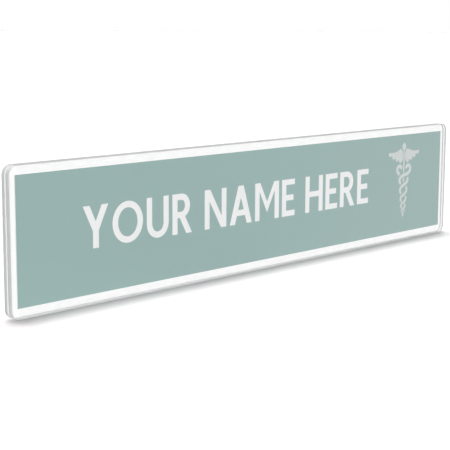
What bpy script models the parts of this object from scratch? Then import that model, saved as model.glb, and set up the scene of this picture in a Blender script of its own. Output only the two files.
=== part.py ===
"""Clear sandwich nameplate holder for a fabric office partition.

Metres, +Z up. X runs along the plate and the printed front faces -Y.
The origin lies in the wall plane, behind the middle of the plate.
"""

from math import radians

import bmesh
import bpy

# Outline of the two clear panels
PLATE_LENGTH = 0.2540
PLATE_HEIGHT = 0.0508
CORNER_RADIUS = 0.0032
EDGE_POLISH = 0.00025

# Sheet thicknesses of the two clear panels
FRONT_THICKNESS = 0.0020
BACK_THICKNESS = 0.0015

# Printed card, and the running room that it has in its slot
CARD_THICKNESS = 0.0003
CARD_BORDER = 0.0033
CARD_FACE_CLEARANCE = 0.0001
CARD_EDGE_CLEARANCE = 0.0003

# Bond strips above and below the card: setback from the plate's long edge, and from its corner arc
STRIP_EDGE_SETBACK = 0.0006
STRIP_END_SETBACK = 0.0010

# Hook pads on the back, with a flat selvage along each long side
PAD_LENGTH = 0.0508
PAD_HEIGHT = 0.01905
PAD_END_MARGIN = 0.0216
PAD_BASE = 0.0007
PAD_HOOK_HEIGHT = 0.0009
PAD_SELVAGE = 0.0013

# Adhesive layer under each pad
ADHESIVE_THICKNESS = 0.0003
ADHESIVE_SETBACK = 0.0003

# Facets on the panels' corner arcs and on their polished edges
CORNER_STEPS = 12
POLISH_STEPS = 4
POLISH_MIN_ANGLE = radians(60)

# Sizes that follow from the ones above
SLOT_WIDTH = CARD_THICKNESS + 2 * CARD_FACE_CLEARANCE
CARD_LENGTH = PLATE_LENGTH - 2 * CARD_BORDER
CARD_HEIGHT = PLATE_HEIGHT - 2 * CARD_BORDER
STRIP_WIDTH = CARD_BORDER - CARD_EDGE_CLEARANCE - STRIP_EDGE_SETBACK
STRIP_LENGTH = PLATE_LENGTH - 2 * (CORNER_RADIUS + STRIP_END_SETBACK)
STRIP_Z = CARD_HEIGHT / 2 + CARD_EDGE_CLEARANCE + STRIP_WIDTH / 2
PAD_X = PLATE_LENGTH / 2 - PAD_END_MARGIN - PAD_LENGTH / 2
PAD_THICKNESS = PAD_BASE + PAD_HOOK_HEIGHT

# Rear plane of each layer, counted forward from the wall plane at y = 0
PAD_REAR = 0.0
ADHESIVE_REAR = PAD_REAR - PAD_THICKNESS
BACK_REAR = ADHESIVE_REAR - ADHESIVE_THICKNESS
SLOT_REAR = BACK_REAR - BACK_THICKNESS
CARD_REAR = SLOT_REAR - CARD_FACE_CLEARANCE
FRONT_REAR = SLOT_REAR - SLOT_WIDTH

# Finishes: colour, roughness, metallic, transmission
CLEAR_ACRYLIC = ((0.95, 0.97, 0.97, 1.0), 0.04, 0.0, 1.0)
CLEAR_ADHESIVE = ((0.93, 0.94, 0.94, 1.0), 0.20, 0.0, 0.9)
PRINTED_CARD = ((0.33, 0.45, 0.43, 1.0), 0.55, 0.0, 0.0)
WHITE_HOOK_TAPE = ((0.80, 0.80, 0.79, 1.0), 0.60, 0.0, 0.0)
PAD_ADHESIVE = ((0.72, 0.72, 0.69, 1.0), 0.45, 0.0, 0.0)


def clear_scene():
    for old in list(bpy.data.objects):
        bpy.data.objects.remove(old, do_unlink=True)


def make_material(name, finish):
    colour, roughness, metallic, transmission = finish
    material = bpy.data.materials.new(name)
    material.use_nodes = True
    shader = material.node_tree.nodes["Principled BSDF"]
    shader.inputs["Base Color"].default_value = colour
    shader.inputs["Roughness"].default_value = roughness
    shader.inputs["Metallic"].default_value = metallic
    shader.inputs["Transmission Weight"].default_value = transmission
    return material


def add_object(name, form, finish, location, parent):
    """Turn a bmesh into a named object with its own material, placed in its parent's frame."""
    bmesh.ops.recalc_face_normals(form, faces=form.faces[:])
    mesh = bpy.data.meshes.new(name)
    form.to_mesh(mesh)
    form.free()
    mesh.materials.append(make_material(name, finish))
    piece = bpy.data.objects.new(name, mesh)
    bpy.context.collection.objects.link(piece)
    piece.location = location
    piece.parent = parent
    return piece


def add_empty(name, location, parent=None):
    empty = bpy.data.objects.new(name, None)
    bpy.context.collection.objects.link(empty)
    empty.location = location
    empty.parent = parent
    return empty


def extrude_outline(form, direction):
    """Sweep the one face in a bmesh along a vector into a closed solid."""
    swept = bmesh.ops.extrude_face_region(form, geom=form.faces[:])
    moved = [item for item in swept["geom"] if isinstance(item, bmesh.types.BMVert)]
    bmesh.ops.translate(form, verts=moved, vec=direction)


def sheet(length, height, thickness, corner_radius=0.0):
    """Flat sheet centred in X and Z, from y = 0 forward to y = -thickness."""
    form = bmesh.new()
    signs = ((-1, -1), (1, -1), (1, 1), (-1, 1))
    form.faces.new([form.verts.new((sx * length / 2, 0.0, sz * height / 2)) for sx, sz in signs])
    if corner_radius:
        bmesh.ops.bevel(form, geom=form.verts[:], offset=corner_radius, offset_type="OFFSET",
                        segments=CORNER_STEPS, profile=0.5, affect="VERTICES")
    extrude_outline(form, (0.0, -thickness, 0.0))
    return form


def polish_edges(piece):
    """Round the long edges of a cut sheet, leaving its corner arcs as they are."""
    bevel = piece.modifiers.new("polished_edge", "BEVEL")
    bevel.width = EDGE_POLISH
    bevel.segments = POLISH_STEPS
    bevel.limit_method = "ANGLE"
    bevel.angle_limit = POLISH_MIN_ANGLE
    bevel.harden_normals = True
    piece.data.shade_smooth()


def add_panel(name, thickness, rear, holder):
    form = sheet(PLATE_LENGTH, PLATE_HEIGHT, thickness, CORNER_RADIUS)
    panel = add_object(name, form, CLEAR_ACRYLIC, (0.0, rear, 0.0), holder)
    polish_edges(panel)


def add_bond_strip(name, side, holder):
    """One clear strip in the slot: side is +1 above the card and -1 below it."""
    form = sheet(STRIP_LENGTH, STRIP_WIDTH, SLOT_WIDTH)
    add_object(name, form, CLEAR_ADHESIVE, (0.0, SLOT_REAR, side * STRIP_Z), holder)


def add_insert_card(holder):
    """The card hangs on an empty at its middle, on the line that it slides along."""
    slide = add_empty("card_slide", (0.0, CARD_REAR, 0.0), holder)
    form = sheet(CARD_LENGTH, CARD_HEIGHT, CARD_THICKNESS)
    add_object("insert_card", form, PRINTED_CARD, (0.0, 0.0, 0.0), slide)


def hook_tape():
    """Length of hook tape: a base strip whose hook field stands up between two selvages."""
    half = PAD_HEIGHT / 2
    field = half - PAD_SELVAGE
    step = -PAD_HOOK_HEIGHT
    profile = (
        (-PAD_THICKNESS, -half),
        (step, -half),
        (step, -field),
        (0.0, -field),
        (0.0, field),
        (step, field),
        (step, half),
        (-PAD_THICKNESS, half),
    )
    form = bmesh.new()
    form.faces.new([form.verts.new((-PAD_LENGTH / 2, y, z)) for y, z in profile])
    extrude_outline(form, (PAD_LENGTH, 0.0, 0.0))
    return form


def add_hook_pad(side_name, side, holder):
    """One pad and its adhesive: side is -1 for the left pad and +1 for the right one."""
    x = side * PAD_X
    add_object("hook_pad_" + side_name, hook_tape(), WHITE_HOOK_TAPE, (x, PAD_REAR, 0.0), holder)
    layer = sheet(PAD_LENGTH - 2 * ADHESIVE_SETBACK, PAD_HEIGHT - 2 * ADHESIVE_SETBACK, ADHESIVE_THICKNESS)
    add_object("pad_adhesive_" + side_name, layer, PAD_ADHESIVE, (x, ADHESIVE_REAR, 0.0), holder)


def build():
    clear_scene()
    holder = add_empty("holder", (0.0, 0.0, 0.0))
    add_panel("front_panel", FRONT_THICKNESS, FRONT_REAR, holder)
    add_panel("back_panel", BACK_THICKNESS, BACK_REAR, holder)
    add_bond_strip("upper_bond_strip", 1, holder)
    add_bond_strip("lower_bond_strip", -1, holder)
    add_insert_card(holder)
    add_hook_pad("left", -1, holder)
    add_hook_pad("right", 1, holder)


build()
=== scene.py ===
"""Looks of the clear nameplate holder: polished acrylic, printed card, hook tape and a white studio.

Metres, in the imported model's own frame: X along the plate, front towards -Y, +Z up.
"""

from math import acos, cos, pi, radians, sin, tau

import bmesh
import bpy
from mathutils import Matrix, Vector


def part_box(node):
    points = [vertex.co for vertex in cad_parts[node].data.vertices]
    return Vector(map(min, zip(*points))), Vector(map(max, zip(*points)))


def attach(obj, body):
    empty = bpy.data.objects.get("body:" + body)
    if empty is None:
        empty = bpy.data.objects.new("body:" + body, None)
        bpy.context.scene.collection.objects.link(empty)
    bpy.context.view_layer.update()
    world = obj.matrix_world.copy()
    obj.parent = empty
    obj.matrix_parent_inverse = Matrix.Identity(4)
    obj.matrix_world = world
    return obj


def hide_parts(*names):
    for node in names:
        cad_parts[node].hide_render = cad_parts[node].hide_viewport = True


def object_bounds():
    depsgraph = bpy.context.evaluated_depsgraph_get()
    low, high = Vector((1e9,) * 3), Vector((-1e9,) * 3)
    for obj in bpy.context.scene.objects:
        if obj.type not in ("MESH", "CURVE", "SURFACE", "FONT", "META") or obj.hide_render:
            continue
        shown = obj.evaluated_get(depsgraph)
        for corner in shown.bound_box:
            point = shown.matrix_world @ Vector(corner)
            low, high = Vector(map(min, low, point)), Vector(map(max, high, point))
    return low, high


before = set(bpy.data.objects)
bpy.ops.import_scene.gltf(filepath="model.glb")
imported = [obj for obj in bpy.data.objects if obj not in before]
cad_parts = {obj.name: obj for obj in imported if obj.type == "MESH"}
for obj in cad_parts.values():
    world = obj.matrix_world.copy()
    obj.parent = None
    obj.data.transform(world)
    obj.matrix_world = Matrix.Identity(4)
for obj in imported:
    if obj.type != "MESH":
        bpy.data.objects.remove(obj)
CAD_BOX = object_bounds()

MM = 0.001

# Clear panels: corner arc, rounded polish along the edges, and facets on each
CORNER_RADIUS = 3.2 * MM
EDGE_POLISH = 0.25 * MM
CORNER_STEPS = 20
POLISH_STEPS = 4

# Rims and small corners: angle above which an edge is rounded or shaded sharp, facets, and round profile
SHARP_ANGLE = radians(60)
RIM_STEPS = 2
SMALL_CORNER_STEPS = 6
ROUND_PROFILE = 0.5

# Least share of a side's normal along Y that makes it the front or the back of a sheet
SHEET_FACE = 0.9

# Clear acrylic: refraction, lamp light that passes straight on and grazing, and the span between the two
ACRYLIC_IOR = 1.49
FACE_PASSES = (0.97, 0.65)
EDGE_PASSES = (0.8, 0.65)
GRAZING_SPAN = (0.5, 0.85)

# Clear faces: tint, painted shade that darkens them towards the foot of the plate, handling marks and
# gloss
FACE_CLEAR = (0.993, 0.995, 0.995, 1.0)
FACE_FOOT_SHADE = (0.97, 0.97, 0.97, 1.0)
FACE_FOOT_SHADE_SPAN = (0.3 * MM, 0.9 * MM)
FACE_MARKS = {"Smudge_Scale": 55.0, "Scratch_Scale": 1400.0}
FACE_ROUGHNESS = (0.0, 0.02)
SCRATCH_DEPTH = 0.0005 * MM

# Panel edges: tints of the cut edge and of its polished rim, whose darker grey is a painted shade,
# clearness, cutting lines and painted shade along the top
FRONT_EDGE_TINTS = ((0.79, 0.80, 0.80, 1.0), (0.74, 0.75, 0.75, 1.0))
# The back panel's edges take darker tints than the front's, a painted shade
BACK_EDGE_SHADED_TINTS = ((0.70, 0.71, 0.71, 1.0), (0.66, 0.67, 0.67, 1.0))
EDGE_CLEARNESS = 0.3
EDGE_SPECULAR = 0.2
EDGE_PATCHES = {"Scale": 500.0, "Amount": 0.12}
EDGE_LINES = {"Stretch": (1.0, 0.08, 1.0), "Scale": 2200.0}
EDGE_LINE_DEPTH = 0.01 * MM
EDGE_ROUGHNESS = (0.6, 0.8)
# Painted shade along the top of the edges
TOP_SHADE = (0.44, 0.44, 0.43, 1.0)
TOP_SHADE_DEPTH = 0.15 * MM

# Printed card: cut corners, the pressed rim of a cut edge, colours of print and paper, and their fibres
CARD_CORNER = 0.2 * MM
CARD_RIM = 0.04 * MM
CARD_COLOUR = (0.279, 0.437, 0.417, 1.0)
CARD_PATCHES = 0.06
PAPER_COLOUR = (0.83, 0.83, 0.81, 1.0)
PAPER_ROUGHNESS = (0.6, 0.75)
PAPER_FIBRE_DEPTH = 0.01 * MM
PRINT_PATCH_SCALE = 700.0
PRINT_FIBRES = {"Stretch": (0.5, 1.0, 1.0), "Scale": 4500.0}
PRINT_FIBRE_DEPTH = 0.004 * MM
PRINT_ROUGHNESS = (0.45, 0.6)
PRINT_SPECULAR = 0.15

# Ink on the card: how far it is sunk in the paper, how far it stands proud, and its colours
INK_SUNK = 0.005 * MM
INK_PROUD = 0.03 * MM
INK_PATCHES = 0.05
WHITE_INK = (0.93, 0.935, 0.935, 1.0)
GREY_INK = (0.64, 0.684, 0.67, 1.0)

# Pressed layers: drawn-in rim, and the gap that keeps two drawn faces from lying in one plane
LAYER_RIM = 0.1 * MM
LAYER_GAP = 0.02 * MM

# Bond strips: rounded ends of a clear film, and its haze
FILM_CORNER = 0.6 * MM
FILM_TINT = {"Color": (0.9, 0.91, 0.9, 1.0), "Scale": 300.0, "Amount": 0.1}
FILM_HAZE = {"Stretch": (0.2, 1.0, 1.0), "Scale": 900.0}
FILM_ROUGHNESS = (0.35, 0.5)
FILM_COVER = (0.01, 0.05)

# Adhesive layer: rounded corners, and a cream colour with patches of trapped air
ADHESIVE_CORNER = 0.5 * MM
ADHESIVE_TINT = {"Color": (0.78, 0.75, 0.66, 1.0), "Scale": 450.0, "Amount": 0.35}
ADHESIVE_GRAIN = {"Stretch": (1.0, 1.0, 1.0), "Scale": 1200.0}
ADHESIVE_GRAIN_DEPTH = 0.03 * MM
ADHESIVE_ROUGHNESS = (0.2, 0.5)

# Placeholder lettering: line of capitals, its strokes, and the width of each letter
PLACEHOLDER = ("YOUR", "NAME", "HERE")
CAP_HEIGHT = 15.0 * MM
BASELINE_Z = -6.1 * MM
LETTERS_LEFT = -95.3 * MM
LETTERS_RIGHT = 67.8 * MM
STEM = 2.65 * MM
BAR = 2.3 * MM
SLANT = 3.0 * MM
LETTER_GAP = 1.9 * MM
LETTER_WIDTHS = {"A": 12.8 * MM, "E": 8.0 * MM, "H": 11.4 * MM, "M": 14.4 * MM, "N": 12.0 * MM,
                 "O": 14.6 * MM, "R": 10.2 * MM, "U": 11.0 * MM, "Y": 11.6 * MM}
ARC_STEPS = 20

# Proportions of single letters, as shares of their height, width or stem, and the knee of the R
A_BAR_HEIGHT = 0.22
E_ARM_CUT = 0.3
M_DIP_HEIGHT = 0.2
M_DIP_THICKNESS = 0.28
N_RISE = 0.7
R_BOWL_HEIGHT = 0.4
R_BOWL_WIDTH = 0.9
R_KNEE = radians(-65)
Y_FORK_HEIGHT = 0.4

# Winged staff at the right of the card: sizes across it and heights above its foot
STAFF_FOOT = (94.5 * MM, -15.0 * MM)
STAFF_WIDTH = 1.0 * MM
STAFF_SPANS = ((0.0, 2.2 * MM), (14.3 * MM, 29.8 * MM))
STAFF_STEPS = 80
KNOB_HEIGHT = 31.7 * MM
KNOB_RADII = (1.4 * MM, 1.7 * MM)
WING_ROOT = (1.5 * MM, 29.9 * MM)
WING_SHOULDER = (2.7 * MM, 30.8 * MM)
WING_TIP = (11.9 * MM, 29.6 * MM)
WING_FOOT = (1.5 * MM, 25.2 * MM)
WING_DIP = 0.7 * MM
WING_BULGE = 0.65 * MM
FEATHERS = 4
FEATHER_SAG = 0.5 * MM
FEATHER_BULGE = 1.2 * MM
FEATHER_STEPS = 6
SNAKE_TAIL = 1.9 * MM
SNAKE_CROSSINGS = (3.3 * MM, 6.3 * MM, 9.8 * MM, 14.3 * MM, 18.9 * MM)
SNAKE_SWINGS = (1.2 * MM, 1.6 * MM, 2.1 * MM, 2.6 * MM, 3.2 * MM)
SNAKE_ROUNDNESS = 0.2
SNAKE_NECK = (5.05 * MM, 21.4 * MM)
SNAKE_HEAD_RADIUS = 1.7 * MM
SNAKE_HEAD_TURN = radians(175)
SNAKE_WIDTHS = (0.9 * MM, 1.7 * MM)
SNAKE_STEPS = 24
SNOUT_STEPS = 6
SNOUT_TIP = 0.3
INK_CLEARANCE = 0.2 * MM

# Hook tape: selvage and base as on the CAD pad, with round long edges and weft ribs across the base
SELVAGE = 1.3 * MM
TAPE_BASE = 0.7 * MM
TAPE_EDGE = 0.3 * MM
TAPE_EDGE_STEPS = 4
RIB_PITCH = 0.65 * MM
RIB_DEPTH = 0.07 * MM
RIB_STEPS = 4
# Base darker than the hooks, a painted shade that falls between the hooks
TAPE_SHADED_TINT = {"Color": (0.66, 0.66, 0.64, 1.0), "Scale": 1500.0, "Amount": 0.2}
WEAVE_PLANE = (1.0, 0.0, 1.0)
WEAVE_THREADS = {"Scale": 420.0, "Distortion": 0.4, "Detail": 1.0}
WEAVE_DEPTH = 0.12 * MM
WEAVE_ROUGHNESS = (0.75, 0.55)

# One hook, and the spacing of the hooks along and across the tape, with each row set off sideways
HOOK_WIRE = 0.1 * MM
HOOK_BEND = 0.22 * MM
HOOK_BEND_STEPS = 6
HOOK_BEND_ANGLE = radians(205)
HOOK_PITCH_X = 1.3 * MM
HOOK_PITCH_Z = 1.0 * MM
HOOK_ROW_OFFSET = 0.25 * HOOK_PITCH_X
HOOK_TOP_GAP = 0.03 * MM
HOOK_ROOT = 0.1 * MM
HOOK_TINT = {"Color": (0.86, 0.86, 0.84, 1.0), "Scale": 900.0, "Amount": 0.15}
HOOK_GRAIN = {"Stretch": (1.0, 0.3, 1.0), "Scale": 6000.0}
HOOK_GRAIN_DEPTH = 0.01 * MM
HOOK_ROUGHNESS = (0.3, 0.45)

# Noise behind the finishes: soft patches, grain, smudges and hair scratches, and the spans that show
PATCH_NOISE = {"Detail": 4.0, "Roughness": 0.6}
PATCH_DARK = (0.4, 0.4, 0.4, 1.0)
GRAIN_NOISE = {"Detail": 5.0, "Roughness": 0.65}
GRAIN_SPAN = (0.3, 0.7)
SMUDGE_NOISE = {"Detail": 6.0, "Roughness": 0.7}
SMUDGE_SPAN = (0.52, 0.72)
SCRATCH_NOISE = {"Detail": 2.0}
SCRATCH_STRETCH = (0.04, 1.0, 1.0)
SCRATCH_SPAN = (0.68, 0.76)

# Places of the colour sockets on a Mix node
MIX_FIRST = 6
MIX_SECOND = 7
MIX_RESULT = 2

# Studio: light of the white room, floor that fades to white, its lift where it is seen, and its bounce
WHITE = (1.0, 1.0, 1.0, 1.0)
WORLD_LIGHT = 0.05
FLOOR_REACH = 30.0
# Near floor a little darker and warm, which cancels the teal light that the card bounces into the shadow
FLOOR_NEAR = (0.922, 0.889, 0.892, 1.0)
FLOOR_FAR = (0.97, 0.97, 0.97, 1.0)
FLOOR_FADE = (0.2, 1.2)
FLOOR_ROUGHNESS = 0.9
FLOOR_LIFT = 0.025
FLOOR_BOUNCE = 0.8

# Lamps: direction, softness and strength, with azimuth 0 in front of the plate
KEY_AZIMUTH = radians(145)
KEY_ELEVATION = radians(77)
KEY_ANGLE = radians(18)
KEY_STRENGTH = 3.12
BACK_AZIMUTH = radians(165)
BACK_ELEVATION = radians(5)
BACK_ANGLE = radians(16)
BACK_STRENGTH = 1.4
SUN_DISTANCE = 3.0
SOFTBOX_AZIMUTH = radians(-40)
SOFTBOX_ELEVATION = radians(5)
SOFTBOX_DISTANCE = 2.5
SOFTBOX_SIZE = 2.9
SOFTBOX_POWER = 107.0

# Camera fitted to the photograph, with the picture taken as 450 by 450
CAMERA_PLACE = (-0.3689, -0.3232, 0.0690)
CAMERA_YAW = radians(-47.28)
CAMERA_PITCH = radians(-9.02)
CAMERA_ROLL = radians(0.22)
CAMERA_LENS = 99.2
CAMERA_NEAR = 0.01
SENSOR_WIDTH = 36.0


def set_inputs(node, values):
    """Set some of a node's inputs by name, with _ for each space."""
    for name, value in values.items():
        node.inputs[name.replace("_", " ")].default_value = value


def add_node(tree, kind, **values):
    """New shader node with some of its inputs set."""
    node = tree.nodes.new("ShaderNode" + kind)
    set_inputs(node, values)
    return node


def place_group(tree, group, **values):
    """Node that holds a node group, with some of its inputs set."""
    node = tree.nodes.new("ShaderNodeGroup")
    node.node_tree = group
    set_inputs(node, values)
    return node


def feed(tree, value, socket):
    """Give an input its value, which is another socket or a plain number, vector or colour."""
    if isinstance(value, bpy.types.NodeSocket):
        tree.links.new(value, socket)
    else:
        socket.default_value = value


def math_node(tree, operation, first, second):
    """Value worked out from two others."""
    node = tree.nodes.new("ShaderNodeMath")
    node.operation = operation
    feed(tree, first, node.inputs[0])
    feed(tree, second, node.inputs[1])
    return node.outputs[0]


def mix_colours(tree, share, first, second, blend="MIX"):
    """Colour that is blended with a second one, which counts by a share from 0 to 1."""
    mix = tree.nodes.new("ShaderNodeMix")
    mix.data_type = "RGBA"
    mix.blend_type = blend
    feed(tree, share, mix.inputs["Factor"])
    feed(tree, first, mix.inputs[MIX_FIRST])
    feed(tree, second, mix.inputs[MIX_SECOND])
    return mix.outputs[MIX_RESULT]


def ramp(tree, value, span=(0.0, 1.0), ends=(0.0, 1.0)):
    """Value that goes from one end to the other while a given value crosses a span."""
    node = tree.nodes.new("ShaderNodeMapRange")
    sockets = ("Value", "From Min", "From Max", "To Min", "To Max")
    for socket, given in zip(sockets, (value, *span, *ends)):
        feed(tree, given, node.inputs[socket])
    return node.outputs[0]


def object_place(tree):
    """Coordinates on the piece itself."""
    return tree.nodes.new("ShaderNodeTexCoord").outputs["Object"]


def stretched_place(tree, stretch):
    """Coordinates on the piece, multiplied by a stretch for each axis."""
    scaled = tree.nodes.new("ShaderNodeVectorMath")
    scaled.operation = "MULTIPLY"
    feed(tree, object_place(tree), scaled.inputs[0])
    feed(tree, stretch, scaled.inputs[1])
    return scaled.outputs[0]


def noise(tree, place, scale, kind):
    """Uneven noise at a place and a scale that are both sockets."""
    node = add_node(tree, "TexNoise", **kind)
    tree.links.new(place, node.inputs["Vector"])
    tree.links.new(scale, node.inputs["Scale"])
    return node.outputs["Fac"]


def start_group(name, inputs, outputs):
    """Empty shader node group with named sockets, and its two end nodes."""
    group = bpy.data.node_groups.new(name, "ShaderNodeTree")
    for direction, sockets in (("INPUT", inputs), ("OUTPUT", outputs)):
        for socket, kind in sockets.items():
            group.interface.new_socket(socket, in_out=direction, socket_type="NodeSocket" + kind)
    return group, group.nodes.new("NodeGroupInput"), group.nodes.new("NodeGroupOutput")


def mottle_group():
    """Colour that is a little darker in soft, uneven patches."""
    group, given, result = start_group(
        "colour_mottle",
        {"Color": "Color", "Scale": "Float", "Amount": "Float"},
        {"Color": "Color"})
    patches = noise(group, object_place(group), given.outputs["Scale"], PATCH_NOISE)
    share = math_node(group, "MULTIPLY", patches, given.outputs["Amount"])
    tint = mix_colours(group, share, given.outputs["Color"], PATCH_DARK, "MULTIPLY")
    group.links.new(tint, result.inputs["Color"])
    return group


def grain_group():
    """Fine grain that can be drawn out into fibres or cutting lines."""
    group, given, result = start_group(
        "drawn_grain",
        {"Stretch": "Vector", "Scale": "Float"},
        {"Height": "Float", "Mask": "Float"})
    place = stretched_place(group, given.outputs["Stretch"])
    grain = noise(group, place, given.outputs["Scale"], GRAIN_NOISE)
    group.links.new(grain, result.inputs["Height"])
    group.links.new(ramp(group, grain, GRAIN_SPAN), result.inputs["Mask"])
    return group


def handling_group():
    """Finger smudges as a mask, and hair scratches as a height."""
    group, given, result = start_group(
        "handling_marks",
        {"Smudge Scale": "Float", "Scratch Scale": "Float"},
        {"Smudge": "Float", "Scratch": "Float"})
    patches = noise(group, object_place(group), given.outputs["Smudge Scale"], SMUDGE_NOISE)
    along = stretched_place(group, SCRATCH_STRETCH)
    hairs = noise(group, along, given.outputs["Scratch Scale"], SCRATCH_NOISE)
    group.links.new(ramp(group, patches, SMUDGE_SPAN), result.inputs["Smudge"])
    group.links.new(ramp(group, hairs, SCRATCH_SPAN), result.inputs["Scratch"])
    return group


def height_shade_group():
    """Colour that turns to a painted shade between a lit height and a shaded one."""
    group, given, result = start_group(
        "painted_height_shade",
        {"Color": "Color", "Dust Color": "Color", "Clean Height": "Float", "Dusty Height": "Float"},
        {"Color": "Color"})
    place = group.nodes.new("ShaderNodeSeparateXYZ")
    group.links.new(object_place(group), place.inputs[0])
    heights = (given.outputs["Clean Height"], given.outputs["Dusty Height"])
    share = ramp(group, place.outputs["Z"], heights)
    film = mix_colours(group, share, given.outputs["Color"], given.outputs["Dust Color"])
    group.links.new(film, result.inputs["Color"])
    return group


HEIGHT_SHADE = height_shade_group()
MOTTLE = mottle_group()
GRAIN = grain_group()
HANDLING = handling_group()


def new_material(name, **values):
    """Node material, its tree, and its Principled shader with some of its own inputs set."""
    material = bpy.data.materials.new(name)
    material.use_nodes = True
    shader = material.node_tree.nodes["Principled BSDF"]
    set_inputs(shader, values)
    return material, material.node_tree, shader


def add_bump(tree, shader, height, depth):
    """Bump of a real depth on a shader."""
    bump = add_node(tree, "Bump", Distance=depth)
    tree.links.new(height, bump.inputs["Height"])
    tree.links.new(bump.outputs["Normal"], shader.inputs["Normal"])


def lay_finish(tree, shader, tint, grain, roughness):
    """Give a shader soft patches of colour and a roughness that follows a grain, and return both nodes."""
    patches = place_group(tree, MOTTLE, **tint)
    fibres = place_group(tree, GRAIN, **grain)
    tree.links.new(patches.outputs["Color"], shader.inputs["Base Color"])
    tree.links.new(ramp(tree, fibres.outputs["Mask"], ends=roughness), shader.inputs["Roughness"])
    return patches, fibres


def shade_for(tree, factor, usual, special):
    """Shader that changes from the usual one to a special one for some rays."""
    mix = tree.nodes.new("ShaderNodeMixShader")
    for socket, source in zip(mix.inputs, (factor, usual, special)):
        tree.links.new(source, socket)
    return mix.outputs[0]


def let_light_through(material, shader, passes):
    """Shadow and diffuse rays pass straight on, so that lamps reach what lies behind the acrylic.

    A lamp that grazes the surface is partly mirrored away, so less of its light passes.
    """
    tree = material.node_tree
    path = tree.nodes.new("ShaderNodeLightPath")
    facing = tree.nodes.new("ShaderNodeLayerWeight").outputs["Facing"]
    lamp_light = tree.nodes.new("ShaderNodeBsdfTransparent")
    tree.links.new(ramp(tree, facing, GRAZING_SPAN, passes), lamp_light.inputs["Color"])
    straight = passes[0]
    bounced_light = add_node(tree, "BsdfTransparent", Color=(straight, straight, straight, 1.0))
    result = shader.outputs[0]
    for ray, clear in (("Is Diffuse Ray", bounced_light), ("Is Shadow Ray", lamp_light)):
        result = shade_for(tree, path.outputs[ray], result, clear.outputs[0])
    tree.links.new(result, tree.nodes["Material Output"].inputs["Surface"])


def acrylic_face():
    """Cast face of the sheet: clear, with faint smudges and hair scratches, and a painted shade towards
    its foot.
    """
    material, tree, shader = new_material("acrylic_face", IOR=ACRYLIC_IOR, Transmission_Weight=1.0)
    # Painted shade that darkens the faces towards the foot of the plate
    shaded_level, lit_level = (CAD_BOX[0].z + height for height in FACE_FOOT_SHADE_SPAN)
    foot_shade = place_group(tree, HEIGHT_SHADE, Color=FACE_CLEAR, Dust_Color=FACE_FOOT_SHADE,
                       Clean_Height=lit_level, Dusty_Height=shaded_level)
    marks = place_group(tree, HANDLING, **FACE_MARKS)
    tree.links.new(foot_shade.outputs["Color"], shader.inputs["Base Color"])
    tree.links.new(ramp(tree, marks.outputs["Smudge"], ends=FACE_ROUGHNESS), shader.inputs["Roughness"])
    add_bump(tree, shader, marks.outputs["Scratch"], SCRATCH_DEPTH)
    let_light_through(material, shader, FACE_PASSES)
    return material


def acrylic_edge(name, tint):
    """Cut or polished edge of the sheet: pale, partly clear, with fine cutting lines across it and a
    painted shade along its top.
    """
    material, tree, shader = new_material(
        name, IOR=ACRYLIC_IOR, Transmission_Weight=EDGE_CLEARNESS, Specular_IOR_Level=EDGE_SPECULAR)
    top = CAD_BOX[1].z
    # Painted shade along the top of the edge
    top_shading = place_group(tree, HEIGHT_SHADE, Color=tint, Dust_Color=TOP_SHADE,
                       Clean_Height=top - TOP_SHADE_DEPTH, Dusty_Height=top)
    patches, lines = lay_finish(tree, shader, EDGE_PATCHES, EDGE_LINES, EDGE_ROUGHNESS)
    tree.links.new(top_shading.outputs["Color"], patches.inputs["Color"])
    add_bump(tree, shader, lines.outputs["Height"], EDGE_LINE_DEPTH)
    let_light_through(material, shader, EDGE_PASSES)
    return material


def printed_finish(name, colour, patches, roughness, depth):
    """Ink or bare paper on card stock: soft patches of colour over a fibrous surface."""
    material, tree, shader = new_material(name, Specular_IOR_Level=PRINT_SPECULAR)
    tint = {"Color": colour, "Scale": PRINT_PATCH_SCALE, "Amount": patches}
    fibres = lay_finish(tree, shader, tint, PRINT_FIBRES, roughness)[1]
    add_bump(tree, shader, fibres.outputs["Height"], depth)
    return material


def bond_film_finish():
    """Clear double-sided film: almost invisible, with a slight uneven haze."""
    material, tree, shader = new_material("bond_film")
    haze = lay_finish(tree, shader, FILM_TINT, FILM_HAZE, FILM_ROUGHNESS)[1]
    tree.links.new(ramp(tree, haze.outputs["Mask"], ends=FILM_COVER), shader.inputs["Alpha"])
    return material


def tape_base_finish():
    """Woven nylon base of the hook tape, white nylon painted a darker grey as shade that falls between the
    hooks.
    """
    material, tree, shader = new_material("hook_tape_weave")
    tint = place_group(tree, MOTTLE, **TAPE_SHADED_TINT)
    tree.links.new(tint.outputs["Color"], shader.inputs["Base Color"])
    place = stretched_place(tree, WEAVE_PLANE)
    threads = []
    for direction in ("X", "Z"):
        wave = add_node(tree, "TexWave", **WEAVE_THREADS)
        wave.bands_direction = direction
        tree.links.new(place, wave.inputs["Vector"])
        threads.append(wave.outputs["Fac"])
    weave = math_node(tree, "MULTIPLY", *threads)
    tree.links.new(ramp(tree, weave, ends=WEAVE_ROUGHNESS), shader.inputs["Roughness"])
    add_bump(tree, shader, weave, WEAVE_DEPTH)
    return material


def hook_finish():
    """Smooth white nylon of the hooks."""
    material, tree, shader = new_material("hook_nylon")
    grain = lay_finish(tree, shader, HOOK_TINT, HOOK_GRAIN, HOOK_ROUGHNESS)[1]
    add_bump(tree, shader, grain.outputs["Height"], HOOK_GRAIN_DEPTH)
    return material


def adhesive_finish():
    """Cream pressure-sensitive adhesive with air trapped in patches."""
    material, tree, shader = new_material("pad_adhesive_film")
    grain = lay_finish(tree, shader, ADHESIVE_TINT, ADHESIVE_GRAIN, ADHESIVE_ROUGHNESS)[1]
    add_bump(tree, shader, grain.outputs["Height"], ADHESIVE_GRAIN_DEPTH)
    return material


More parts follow.
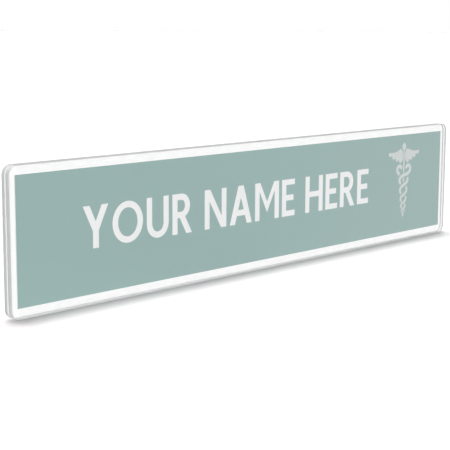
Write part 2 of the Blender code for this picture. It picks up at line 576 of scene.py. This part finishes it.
def add_piece(name, form, materials, body, slot, *nodes):
    """Mesh object that rides on a body and may stand for CAD nodes."""
    bmesh.ops.recalc_face_normals(form, faces=form.faces[:])
    mesh = bpy.data.meshes.new(name)
    form.to_mesh(mesh)
    form.free()
    for material in materials:
        mesh.materials.append(material)
    piece = bpy.data.objects.new(name, mesh)
    bpy.context.scene.collection.objects.link(piece)
    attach(piece, body)
    if nodes:
        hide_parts(*nodes)
    return piece


def extrude_along_y(form, faces, depth):
    """Sweep flat faces along Y into a closed body."""
    swept = bmesh.ops.extrude_face_region(form, geom=faces)
    moved = [item for item in swept["geom"] if isinstance(item, bmesh.types.BMVert)]
    bmesh.ops.translate(form, verts=moved, vec=(0.0, depth, 0.0))


def slab(low, high, corner_radius, steps=SMALL_CORNER_STEPS):
    """Upright sheet that fills a box, with its four corners rounded."""
    form = bmesh.new()
    corners = ((low.x, low.z), (high.x, low.z), (high.x, high.z), (low.x, high.z))
    form.faces.new([form.verts.new((x, high.y, z)) for x, z in corners])
    bmesh.ops.bevel(form, geom=form.verts[:], offset=corner_radius, offset_type="OFFSET",
                    segments=steps, profile=ROUND_PROFILE, affect="VERTICES")
    extrude_along_y(form, form.faces[:], low.y - high.y)
    form.normal_update()
    return form


def round_rim(piece, width, steps=RIM_STEPS):
    """Round the rim of a flat piece, in the last of its finishes."""
    bevel = piece.modifiers.new("rounded_rim", "BEVEL")
    bevel.width = width
    bevel.segments = steps
    bevel.limit_method = "ANGLE"
    bevel.angle_limit = SHARP_ANGLE
    bevel.harden_normals = True
    bevel.material = len(piece.data.materials) - 1
    piece.data.shade_smooth()


def add_panel(node, face, edge, rim):
    """Acrylic sheet with its two faces, its cut edges and their polished rim in separate finishes."""
    low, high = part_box(node)
    form = slab(low, high, CORNER_RADIUS, CORNER_STEPS)
    for side in form.faces:
        side.material_index = 0 if abs(side.normal.y) > SHEET_FACE else 1
    panel = add_piece(node + "_clear", form, [face, edge, rim], "holder", "clear_acrylic", node)
    round_rim(panel, EDGE_POLISH, POLISH_STEPS)


def add_pressed_layer(node, kind, corner_radius, finish, slot):
    """Bond film or pad adhesive, a hair thinner than the gap that it fills."""
    low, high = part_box(node)
    inset = Vector((0.0, LAYER_GAP, 0.0))
    form = slab(low + inset, high - inset, corner_radius)
    layer = add_piece(f"{node}_{kind}", form, [finish], "holder", slot, node)
    round_rim(layer, LAYER_RIM)


def add_card(print_side, paper):
    """Card that is printed on its front, with bare paper on its edges and its back."""
    low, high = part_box("insert_card")
    form = slab(low, high, CARD_CORNER)
    for side in form.faces:
        side.material_index = 0 if side.normal.y < -SHEET_FACE else 1
    card = add_piece("printed_insert", form, [print_side, paper], "insert", "printed_card", "insert_card")
    round_rim(card, CARD_RIM)


def arc(centre, radii, start, end, steps=ARC_STEPS):
    """Points along part of an ellipse, with both ends."""
    turns = [start + (end - start) * i / steps for i in range(steps + 1)]
    return [(centre[0] + radii[0] * cos(t), centre[1] + radii[1] * sin(t)) for t in turns]


def ring(centre, radii):
    """Points round a whole ellipse."""
    return arc(centre, radii, 0.0, tau, 2 * ARC_STEPS)[:-1]


def letter_a(wide, tall):
    """Outline of an A, with its hole."""
    lean = (wide - SLANT) / 2 / tall
    bar_low = A_BAR_HEIGHT * tall
    bar_high = bar_low + BAR

    def leg(z):
        """Inner side of the left leg at a height."""
        return SLANT + lean * z

    outer = [(0, 0), (SLANT, 0), (leg(bar_low), bar_low), (wide - leg(bar_low), bar_low),
             (wide - SLANT, 0), (wide, 0), ((wide + SLANT) / 2, tall), ((wide - SLANT) / 2, tall)]
    peak = (wide / 2, (wide / 2 - SLANT) / lean)
    hole = [(leg(bar_high), bar_high), (wide - leg(bar_high), bar_high), peak]
    return outer, hole


def letter_e(wide, tall):
    """Outline of an E, whose middle arm is a little shorter."""
    low = (tall - BAR) / 2
    arm = wide - E_ARM_CUT * STEM
    return [[(0, 0), (wide, 0), (wide, BAR), (STEM, BAR), (STEM, low), (arm, low), (arm, low + BAR),
             (STEM, low + BAR), (STEM, tall - BAR), (wide, tall - BAR), (wide, tall), (0, tall)]]


def letter_h(wide, tall):
    """Outline of an H."""
    low = (tall - BAR) / 2
    high = low + BAR
    right = wide - STEM
    return [[(0, 0), (STEM, 0), (STEM, low), (right, low), (right, 0), (wide, 0), (wide, tall),
             (right, tall), (right, high), (STEM, high), (STEM, tall), (0, tall)]]


def letter_m(wide, tall):
    """Outline of an M, whose middle dips to above its foot."""
    dip = M_DIP_HEIGHT * tall
    dip_top = dip + M_DIP_THICKNESS * tall
    slope = (tall - dip_top) / (wide / 2 - SLANT)
    shoulder = dip + slope * (wide / 2 - STEM)
    right = wide - STEM
    return [[(0, 0), (STEM, 0), (STEM, shoulder), (wide / 2, dip), (right, shoulder), (right, 0),
             (wide, 0), (wide, tall), (wide - SLANT, tall), (wide / 2, dip_top), (SLANT, tall), (0, tall)]]


def letter_n(wide, tall):
    """Outline of an N."""
    rise = N_RISE * tall
    right = wide - STEM
    return [[(0, 0), (STEM, 0), (STEM, rise), (wide - SLANT, 0), (wide, 0), (wide, tall), (right, tall),
             (right, tall - rise), (SLANT, tall), (0, tall)]]


def letter_o(wide, tall):
    """Outline of an O, with its hole."""
    centre = (wide / 2, tall / 2)
    return ring(centre, (wide / 2, tall / 2)), ring(centre, (wide / 2 - STEM, tall / 2 - BAR))


def letter_r(wide, tall):
    """Outline of an R, whose leg starts at the knee of its bowl, with its hole."""
    bowl_low = R_BOWL_HEIGHT * tall
    radius = (tall - bowl_low) / 2
    centre = (R_BOWL_WIDTH * wide - radius, tall - radius)
    bowl = arc(centre, (radius, radius), R_KNEE, pi / 2)
    knee_x, knee_z = bowl[0]
    run = (wide - knee_x) / knee_z
    leg_x = wide - SLANT - run * bowl_low
    outer = [(0, 0), (STEM, 0), (STEM, bowl_low), (leg_x, bowl_low), (wide - SLANT, 0), (wide, 0),
             *bowl, (0, tall)]
    inner = arc(centre, (radius - STEM, radius - BAR), -pi / 2, pi / 2)
    return outer, [(STEM, bowl_low + BAR), *inner, (STEM, tall - BAR)]


def letter_u(wide, tall):
    """Outline of a U."""
    half = wide / 2
    outer = arc((half, half), (half, half), pi, tau)
    inner = arc((half, half), (half - STEM, half - BAR), tau, pi)
    return [[(0, tall), *outer, (wide, tall), (wide - STEM, tall), *inner, (STEM, tall)]]


def letter_y(wide, tall):
    """Outline of a Y."""
    fork = Y_FORK_HEIGHT * tall
    left, right = (wide - STEM) / 2, (wide + STEM) / 2
    crotch = tall - (tall - fork) / left * (wide / 2 - SLANT)
    return [[(left, 0), (right, 0), (right, fork), (wide, tall), (wide - SLANT, tall),
             (wide / 2, crotch), (SLANT, tall), (0, tall), (left, fork)]]


LETTER_SHAPES = {"A": letter_a, "E": letter_e, "H": letter_h, "M": letter_m, "N": letter_n,
                 "O": letter_o, "R": letter_r, "U": letter_u, "Y": letter_y}


def ink_level():
    """Depth at which ink starts, just inside the front of the card."""
    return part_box("insert_card")[0].y + INK_SUNK


def ink_shape(form, loops):
    """Thin flat layer of ink on the front of the card, with the holes that its outline has."""
    level = ink_level()
    edges = []
    for loop in loops:
        points = [form.verts.new((x, level, z)) for x, z in loop]
        edges += [form.edges.new(pair) for pair in zip(points, points[1:] + points[:1])]
    filled = bmesh.ops.triangle_fill(form, edges=edges, use_beauty=True)
    faces = [item for item in filled["geom"] if isinstance(item, bmesh.types.BMFace)]
    extrude_along_y(form, faces, -INK_SUNK - INK_PROUD)


def ink_band(form, sides):
    """Thin flat strip of ink between two rows of points."""
    level = ink_level()
    rungs = [[form.verts.new((x, level, z)) for x, z in pair] for pair in sides]
    faces = [form.faces.new((*low, *reversed(high))) for low, high in zip(rungs, rungs[1:])]
    extrude_along_y(form, faces, -INK_SUNK - INK_PROUD)


def word_width(word):
    """Length of a word with the gaps between its letters."""
    return sum(LETTER_WIDTHS[letter] for letter in word) + LETTER_GAP * (len(word) - 1)


def add_lettering(ink):
    """Line of capitals that fills its length, with even gaps between the words."""
    form = bmesh.new()
    spare = LETTERS_RIGHT - LETTERS_LEFT - sum(word_width(word) for word in PLACEHOLDER)
    word_gap = spare / (len(PLACEHOLDER) - 1)
    left = LETTERS_LEFT
    for word in PLACEHOLDER:
        for letter in word:
            width = LETTER_WIDTHS[letter]
            loops = LETTER_SHAPES[letter](width, CAP_HEIGHT)
            ink_shape(form, [[(left + x, BASELINE_Z + z) for x, z in loop] for loop in loops])
            left += width + LETTER_GAP
        left += word_gap - LETTER_GAP
    add_piece("card_lettering", form, [ink], "insert", "printed_card")


def band_sides(band):
    """Pairs of points on either side of a band, which is a list of middle points with their widths."""
    sides = []
    for i, (point, width) in enumerate(band):
        ahead = band[min(i + 1, len(band) - 1)][0] - band[max(i - 1, 0)][0]
        across = ahead.orthogonal().normalized() * width / 2
        sides.append((point + across, point - across))
    return sides


def shown_bands(band, above):
    """Stretches of a band that show, parted wherever a band that lies above it comes close."""
    def covered(point):
        """True where the other band, or its clearance, reaches a point."""
        return any((point - there).length < width / 2 + INK_CLEARANCE for there, width in above)

    runs = [[]]
    for sample, sides in zip(band, band_sides(band)):
        if any(covered(point) for point in sides):
            runs.append([])
        else:
            runs[-1].append(sample)
    return [band_sides(run) for run in runs if len(run) > 1]


def snake_path(side):
    """Middle line of a snake from its tail, from crossing to crossing, to its head, which curls in."""
    path = []
    heights = (SNAKE_TAIL, *SNAKE_CROSSINGS)
    for turn, (low, high) in enumerate(zip(heights, heights[1:])):
        swing = side * (-1) ** turn * SNAKE_SWINGS[turn]
        start = pi / 2 if turn == 0 else 0.0
        for step in range(SNAKE_STEPS):
            angle = start + (pi - start) * step / SNAKE_STEPS
            climb = (angle - start - SNAKE_ROUNDNESS * sin(2 * angle) / 2) / (pi - start)
            path.append(Vector((swing * sin(angle), low + (high - low) * climb)))
    outward = -1 if swing > 0 else 1
    neck, level = SNAKE_NECK
    radius = SNAKE_HEAD_RADIUS
    curl = arc((0.0, level), (neck, level - SNAKE_CROSSINGS[-1]), -pi / 2, 0.0, SNAKE_STEPS)[:-1]
    curl += arc((neck - radius, level), (radius, radius), 0.0, SNAKE_HEAD_TURN, SNAKE_STEPS)
    return path + [Vector((outward * x, z)) for x, z in curl]


def snake(side):
    """Band of one snake, which widens from its tail up to its last crossing and ends in a round snout."""
    thin, thick = SNAKE_WIDTHS
    growth = (thick - thin) / SNAKE_CROSSINGS[-1]
    band = []
    for steps, point in enumerate(reversed(snake_path(side))):
        from_tip = min(1.0, (steps + SNOUT_TIP) / SNOUT_STEPS)
        round_off = sin(acos(1.0 - from_tip))
        band.append((point, round_off * min(thick, thin + growth * point.y)))
    return band[::-1]


def over_at(band, first):
    """Part of a snake near every second crossing, where it lies above the other one."""
    tops = SNAKE_CROSSINGS[first::2]
    return [(point, width) for point, width in band
            if min(SNAKE_CROSSINGS, key=lambda crossing: abs(crossing - point.y)) in tops]


def wing(side):
    """Wing outline: round shoulder, dipped leading edge, feather ends and a bulge towards the staff."""
    corners = (WING_ROOT, WING_SHOULDER, WING_TIP, WING_FOOT)
    root, shoulder, tip, foot = (Vector(corner) for corner in corners)

    def sagged(start, end, share, depth):
        """Point part of the way from one to another, which hangs below the straight line."""
        return start.lerp(end, share) - Vector((0.0, depth * sin(pi * share)))

    outline = arc((shoulder.x, root.y), shoulder - root, pi, pi / 2)[:-1]
    outline += [sagged(shoulder, tip, i / ARC_STEPS, WING_DIP) for i in range(ARC_STEPS)]
    ends = [sagged(tip, foot, i / FEATHERS, FEATHER_SAG) for i in range(FEATHERS + 1)]
    for start, end in zip(ends, ends[1:]):
        out = (end - start).orthogonal().normalized() * FEATHER_BULGE
        outline += [start.lerp(end, i / FEATHER_STEPS) + out * sin(pi * i / FEATHER_STEPS)
                    for i in range(FEATHER_STEPS)]
    half = (root.y - foot.y) / 2
    outline += arc((foot.x, foot.y + half), (WING_BULGE, half), -pi / 2, -3 * pi / 2)[:-1]
    return [Vector((side * x, z)) for x, z in outline]


def add_winged_staff(ink):
    """Two snakes that cross over and under each other in front of a staff with a knob and two wings."""
    form = bmesh.new()
    foot = Vector(STAFF_FOOT)
    one, other = snake(1), snake(-1)
    bands = shown_bands(one, over_at(other, 0)) + shown_bands(other, over_at(one, 1))
    for low, high in STAFF_SPANS:
        heights = [low + (high - low) * i / STAFF_STEPS for i in range(STAFF_STEPS + 1)]
        bands += shown_bands([(Vector((0.0, height)), STAFF_WIDTH) for height in heights], one + other)
    for band in bands:
        ink_band(form, [[foot + point for point in pair] for pair in band])
    knob = [Vector(point) for point in ring((0.0, KNOB_HEIGHT), KNOB_RADII)]
    for shape in (wing(1), wing(-1), knob):
        ink_shape(form, [[foot + point for point in shape]])
    add_piece("card_winged_staff", form, [ink], "insert", "printed_card")


def join_rings(form, rings):
    """Closed skin over a row of rings that have as many points each."""
    for low, high in zip(rings, rings[1:]):
        for i in range(len(low)):
            form.faces.new((low[i - 1], low[i], high[i], high[i - 1]))
    form.faces.new(rings[0])
    form.faces.new(rings[-1])


def tube(form, path, radius):
    """Closed four-sided wire along a path that lies in an XY plane."""
    rings = []
    for i, point in enumerate(path):
        ahead = path[min(i + 1, len(path) - 1)] - path[max(i - 1, 0)]
        across = Vector((ahead.y, -ahead.x, 0.0)).normalized() * radius
        up = Vector((0.0, 0.0, radius))
        rings.append([form.verts.new(point + side) for side in (across, up, -across, -up)])
    join_rings(form, rings)


def woven_tape(low, high):
    """Base of the tape: a band with round long edges and weft ribs, swept along X."""
    edge = arc((0.0, TAPE_BASE - TAPE_EDGE), (TAPE_EDGE, TAPE_EDGE), 0.0, pi / 2, TAPE_EDGE_STEPS)
    right = [(high.z, 0.0)] + [(high.z - TAPE_EDGE + x, y) for x, y in edge]
    section = right + [(low.z + high.z - z, y) for z, y in reversed(right)]
    ribs = round((high.x - low.x) / RIB_PITCH)
    form = bmesh.new()
    rings = []
    for step in range(ribs * RIB_STEPS + 1):
        x = low.x + (high.x - low.x) * step / (ribs * RIB_STEPS)
        dip = RIB_DEPTH * (1 - cos(tau * step / RIB_STEPS)) / 2
        rings.append([form.verts.new((x, low.y + y * (1 - dip / TAPE_BASE), z)) for z, y in section])
    join_rings(form, rings)
    return form


def hook(form, root, lean, rise):
    """One hook: a straight stem that bends over to one side."""
    turns = [HOOK_BEND_ANGLE * i / HOOK_BEND_STEPS for i in range(HOOK_BEND_STEPS + 1)]
    bend = [Vector((lean * HOOK_BEND * (1 - cos(t)), rise + HOOK_BEND * sin(t), 0.0)) for t in turns]
    tube(form, [root, *(root + point for point in bend)], HOOK_WIRE)


def hook_field(low, high):
    """Rows of hooks between the selvages of a pad, which lean in turn to either side."""
    root_y = low.y + TAPE_BASE - HOOK_ROOT
    rise = high.y - HOOK_TOP_GAP - HOOK_WIRE - HOOK_BEND - root_y
    columns = int((high.x - low.x - HOOK_PITCH_X) / HOOK_PITCH_X)
    rows = int((high.z - low.z - 2 * SELVAGE) / HOOK_PITCH_Z)
    middle = (low + high) / 2
    form = bmesh.new()
    for row in range(rows):
        lean = 1 if row % 2 else -1
        z = middle.z + (row - (rows - 1) / 2) * HOOK_PITCH_Z
        for column in range(columns):
            x = middle.x + (column - (columns - 1) / 2) * HOOK_PITCH_X + lean * HOOK_ROW_OFFSET
            hook(form, Vector((x, root_y, z)), lean, rise)
    return form


def add_hook_pad(node, weave, nylon):
    """Woven tape, and the hooks that stand on it."""
    low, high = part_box(node)
    tape = add_piece(node + "_tape", woven_tape(low, high), [weave], "holder", "hook_tape", node)
    tape.data.shade_smooth()
    tape.data.set_sharp_from_angle(angle=SHARP_ANGLE)
    hooks = add_piece(node + "_hooks", hook_field(low, high), [nylon], "holder", "hook_tape")
    hooks.data.shade_smooth()


def any_ray(tree, path, *rays):
    """1 for rays of any of the named kinds, 0 for the rest."""
    found = path.outputs[rays[0]]
    for ray in rays[1:]:
        found = math_node(tree, "MAXIMUM", found, path.outputs[ray])
    return found


def make_world():
    """Dim white room, which is plain white wherever it is seen."""
    world = bpy.data.worlds.new("white_studio")
    bpy.context.scene.world = world
    world.use_nodes = True
    tree = world.node_tree
    light = tree.nodes["Background"]
    set_inputs(light, {"Color": WHITE, "Strength": WORLD_LIGHT})
    white = add_node(tree, "Background", Color=WHITE, Strength=1.0)
    path = tree.nodes.new("ShaderNodeLightPath")
    seen = any_ray(tree, path, "Is Camera Ray", "Is Glossy Ray", "Is Transmission Ray")
    result = shade_for(tree, seen, light.outputs[0], white.outputs[0])
    tree.links.new(result, tree.nodes["World Output"].inputs["Surface"])


def floor_finish():
    """White paper that keeps the shadow, mirrors as plain white and throws an even light back up."""
    material, tree, paper = new_material("floor_white", Roughness=FLOOR_ROUGHNESS, Specular_IOR_Level=0.0)
    away = tree.nodes.new("ShaderNodeVectorMath")
    away.operation = "LENGTH"
    tree.links.new(object_place(tree), away.inputs[0])
    fade = mix_colours(tree, ramp(tree, away.outputs["Value"], FLOOR_FADE), FLOOR_NEAR, FLOOR_FAR)
    tree.links.new(fade, paper.inputs["Base Color"])
    path = tree.nodes.new("ShaderNodeLightPath")
    seen = any_ray(tree, path, "Is Camera Ray", "Is Transmission Ray")
    glow = add_node(tree, "Emission", Color=WHITE)
    tree.links.new(math_node(tree, "MULTIPLY", seen, FLOOR_LIFT), glow.inputs["Strength"])
    lifted = tree.nodes.new("ShaderNodeAddShader")
    tree.links.new(paper.outputs[0], lifted.inputs[0])
    tree.links.new(glow.outputs[0], lifted.inputs[1])
    mirrored = add_node(tree, "Emission", Color=WHITE, Strength=1.0)
    bounce = add_node(tree, "Emission", Color=WHITE, Strength=FLOOR_BOUNCE)
    result = shade_for(tree, path.outputs["Is Glossy Ray"], lifted.outputs[0], mirrored.outputs[0])
    result = shade_for(tree, path.outputs["Is Diffuse Ray"], result, bounce.outputs[0])
    tree.links.new(result, tree.nodes["Material Output"].inputs["Surface"])
    return material


def make_floor():
    """Wide flat floor under the plate's lower edge."""
    form = bmesh.new()
    bmesh.ops.create_grid(form, x_segments=1, y_segments=1, size=FLOOR_REACH)
    mesh = bpy.data.meshes.new("floor")
    form.to_mesh(mesh)
    form.free()
    mesh.materials.append(floor_finish())
    floor = bpy.data.objects.new("floor", mesh)
    floor.location.z = CAD_BOX[0].z
    bpy.context.scene.collection.objects.link(floor)


def add_lamp(lamp, azimuth, elevation, distance, mirrored):
    """Hang a lamp that faces the plate, where azimuth 0 is straight in front and 90 is at the right."""
    hung = bpy.data.objects.new(lamp.name, lamp)
    hung.visible_camera = mirrored
    hung.visible_glossy = mirrored
    hung.visible_transmission = mirrored
    source = Vector((sin(azimuth) * cos(elevation), -cos(azimuth) * cos(elevation), sin(elevation)))
    hung.location = source * distance
    hung.rotation_euler = (-source).to_track_quat("-Z", "Y").to_euler()
    bpy.context.scene.collection.objects.link(hung)


def add_sun(name, azimuth, elevation, softness, strength, mirrored):
    """Even light from one direction over the whole stage."""
    lamp = bpy.data.lights.new(name, "SUN")
    lamp.angle = softness
    lamp.energy = strength
    add_lamp(lamp, azimuth, elevation, SUN_DISTANCE, mirrored)


def add_softbox(name, azimuth, elevation):
    """Large round softbox, which fades a little along the plate."""
    lamp = bpy.data.lights.new(name, "AREA")
    lamp.shape = "DISK"
    lamp.size = SOFTBOX_SIZE
    lamp.energy = SOFTBOX_POWER
    add_lamp(lamp, azimuth, elevation, SOFTBOX_DISTANCE, False)


def make_camera():
    """Camera at the photograph's viewing angle."""
    camera = bpy.data.cameras.new("camera")
    camera.lens = CAMERA_LENS
    camera.sensor_width = SENSOR_WIDTH
    camera.clip_start = CAMERA_NEAR
    stand = bpy.data.objects.new("camera", camera)
    bpy.context.scene.collection.objects.link(stand)
    turn = Matrix.Rotation(CAMERA_YAW, 4, "Z") @ Matrix.Rotation(pi / 2 + CAMERA_PITCH, 4, "X")
    stand.matrix_world = Matrix.Translation(CAMERA_PLACE) @ turn @ Matrix.Rotation(CAMERA_ROLL, 4, "Z")
    bpy.context.scene.camera = stand


# Panels, with one finish for all their faces
clear_face = acrylic_face()
# The back panel's edges take darker tints, a painted shade
for side, tints in (("front", FRONT_EDGE_TINTS), ("back", BACK_EDGE_SHADED_TINTS)):
    cut_edge = acrylic_edge(side + "_edge", tints[0])
    polished_rim = acrylic_edge(side + "_rim", tints[1])
    add_panel(side + "_panel", clear_face, cut_edge, polished_rim)

# Bond strips
bond_film = bond_film_finish()
for side in ("upper", "lower"):
    add_pressed_layer(side + "_bond_strip", "film", FILM_CORNER, bond_film, "clear_bond_strip")

# Card and what is printed on it
card_print = printed_finish("card_print", CARD_COLOUR, CARD_PATCHES, PRINT_ROUGHNESS, PRINT_FIBRE_DEPTH)
card_paper = printed_finish("card_paper", PAPER_COLOUR, CARD_PATCHES, PAPER_ROUGHNESS, PAPER_FIBRE_DEPTH)
ink_white = printed_finish("ink_white", WHITE_INK, INK_PATCHES, PRINT_ROUGHNESS, PRINT_FIBRE_DEPTH)
ink_grey = printed_finish("ink_grey", GREY_INK, INK_PATCHES, PRINT_ROUGHNESS, PRINT_FIBRE_DEPTH)
add_card(card_print, card_paper)
add_lettering(ink_white)
add_winged_staff(ink_grey)

# Hook pads and the adhesive under them
tape_weave = tape_base_finish()
hook_nylon = hook_finish()
pad_adhesive = adhesive_finish()
for side in ("left", "right"):
    add_hook_pad("hook_pad_" + side, tape_weave, hook_nylon)
    add_pressed_layer("pad_adhesive_" + side, "layer", ADHESIVE_CORNER, pad_adhesive, "pad_adhesive")

# Studio
make_world()
make_floor()
add_sun("key_above_behind", KEY_AZIMUTH, KEY_ELEVATION, KEY_ANGLE, KEY_STRENGTH, True)
add_sun("back_fill", BACK_AZIMUTH, BACK_ELEVATION, BACK_ANGLE, BACK_STRENGTH, False)
add_softbox("front_softbox", SOFTBOX_AZIMUTH, SOFTBOX_ELEVATION)
make_camera()
bpy.context.scene.view_settings.view_transform = "Standard"
